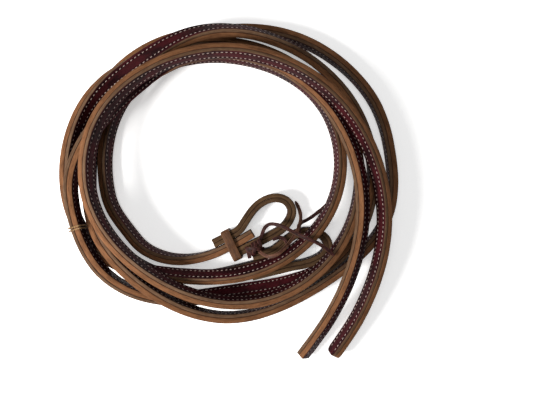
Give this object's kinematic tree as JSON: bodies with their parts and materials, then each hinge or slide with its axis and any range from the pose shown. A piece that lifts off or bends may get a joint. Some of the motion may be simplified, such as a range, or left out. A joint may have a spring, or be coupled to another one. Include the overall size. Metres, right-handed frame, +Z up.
{
  "type": "leather reins",
  "caption": "Pair of doubled and stitched harness leather split reins, loosely coiled, with bit loops, tie laces, a sliding keeper and a twine tie.",
  "frame": {"origin": "middle of the coil's box, on the plane that it lies on", "axes": "+Z up, out of the plane that the coil lies on; +Y towards the side opposite the free tails; +X to the right of that"},
  "size_m": [0.3134, 0.3176, 0.0475],
  "materials": {
    "harness_leather": "oiled, bright tan edges, dark burgundy faces",
    "backing_leather": "greyish tan edge, dark burgundy face",
    "thread": "waxed thread",
    "latigo_lace": "oiled, dark burgundy",
    "twine": "golden tan twine"
  },
  "bodies": {
    "reins": {"coil_tie": "twine", "rein_1_back_ply": "backing_leather", "rein_1_bit_loop_inner": "harness_leather", "rein_1_bit_loop_outer": "harness_leather", "rein_1_bit_loop_stitching": "thread", "rein_1_grain_ply": "harness_leather", "rein_1_stitching": "thread", "rein_1_tie_lace": "latigo_lace", "rein_2_back_ply": "backing_leather", "rein_2_bit_loop_inner": "harness_leather", "rein_2_bit_loop_outer": "harness_leather", "rein_2_bit_loop_stitching": "thread", "rein_2_grain_ply": "harness_leather", "rein_2_lace_knot": "latigo_lace", "rein_2_stitching": "thread", "rein_2_tie_lace": "latigo_lace"},
    "keeper": {"rein_2_keeper": "harness_leather"}
  },
  "joints": [
    {"name": "keeper_slide", "type": "slide", "parent": "reins", "child": "keeper", "axis": [0.8917, 0.4526, 0], "range_m": [-0.006, 0.004]}
  ]
}
